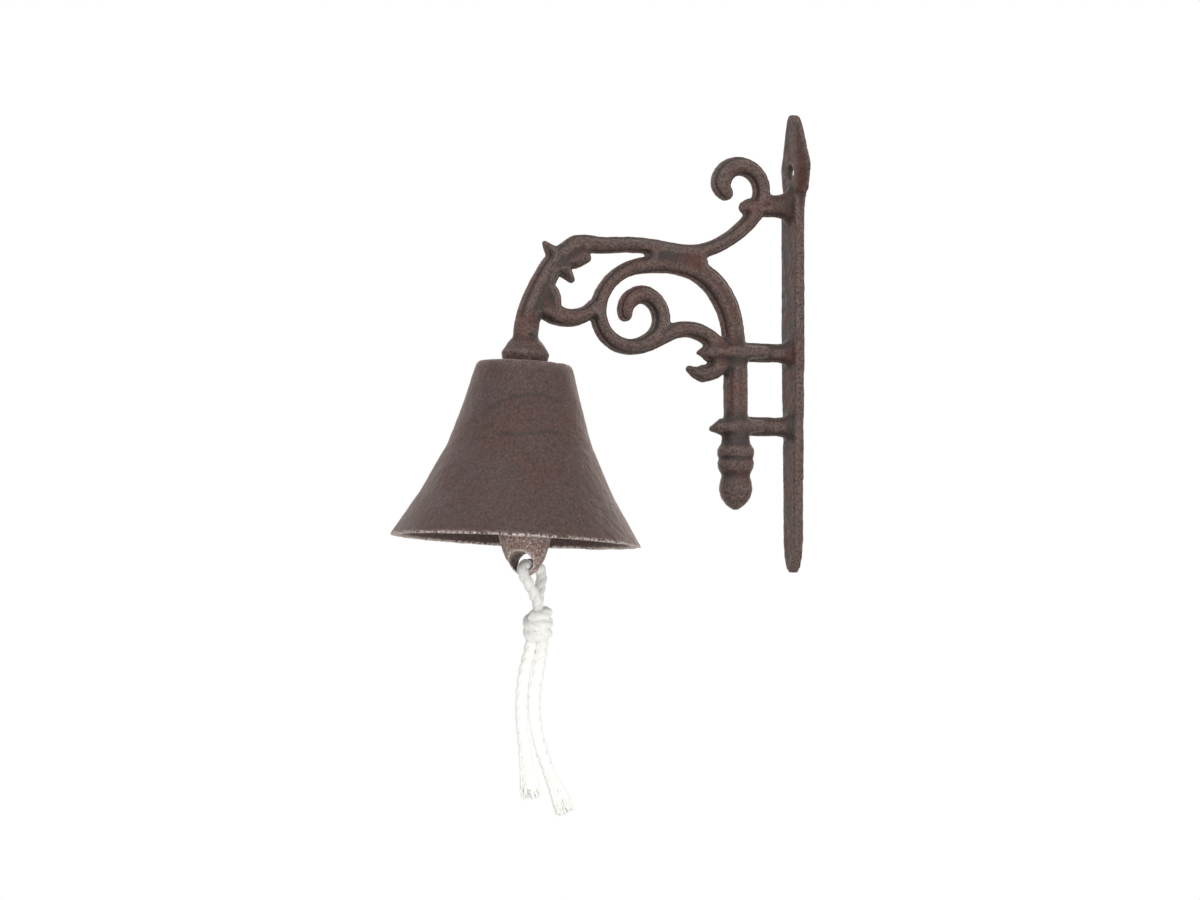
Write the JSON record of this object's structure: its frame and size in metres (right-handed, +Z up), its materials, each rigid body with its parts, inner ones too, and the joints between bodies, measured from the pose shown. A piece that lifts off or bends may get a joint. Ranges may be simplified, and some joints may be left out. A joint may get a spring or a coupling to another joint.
{
  "type": "garden bell",
  "caption": "Cast iron bell hung from a scrolled wall bracket, with a swinging clapper and a knotted pull rope.",
  "frame": {"origin": "back face of the wall plate, on its middle line, 1.5 mm above the middle of the upper cross bar", "axes": "+X into the wall, so the arm reaches out along -X; +Z up along the wall plate; +Y across the bracket"},
  "size_m": [0.1885, 0.108, 0.3035],
  "materials": {
    "iron": "sand-cast, brown antique finish, satin",
    "bell_iron": "sand-cast, brown antique finish, satin",
    "clapper_iron": "sand-cast, coarse grey-brown",
    "zinc_steel": "dull zinc plate",
    "cotton": "soft white twisted cotton"
  },
  "bodies": {
    "bracket": {"wall_bracket": "iron", "bell": "bell_iron", "eye_bolt": "zinc_steel", "bolt_washer": "zinc_steel", "bolt_nut": "zinc_steel"},
    "link": {"hanging_link": "zinc_steel"},
    "clapper": {"clapper": "clapper_iron", "pull_loop": "cotton", "pull_knot": "cotton", "pull_tail_left": "cotton", "pull_tail_right": "cotton"}
  },
  "joints": [
    {"name": "clapper_swing", "type": "hinge", "parent": "bracket", "child": "link", "pos_m": [-0.13161, 0, -0.03226], "axis": [0, 1, 0], "range_deg": [-28, 38]},
    {"name": "clapper_cross_swing", "type": "hinge", "parent": "link", "child": "clapper", "pos_m": [-0.13161, 0, -0.04091], "axis": [1, 0, 0], "range_deg": [-10, 10]}
  ]
}
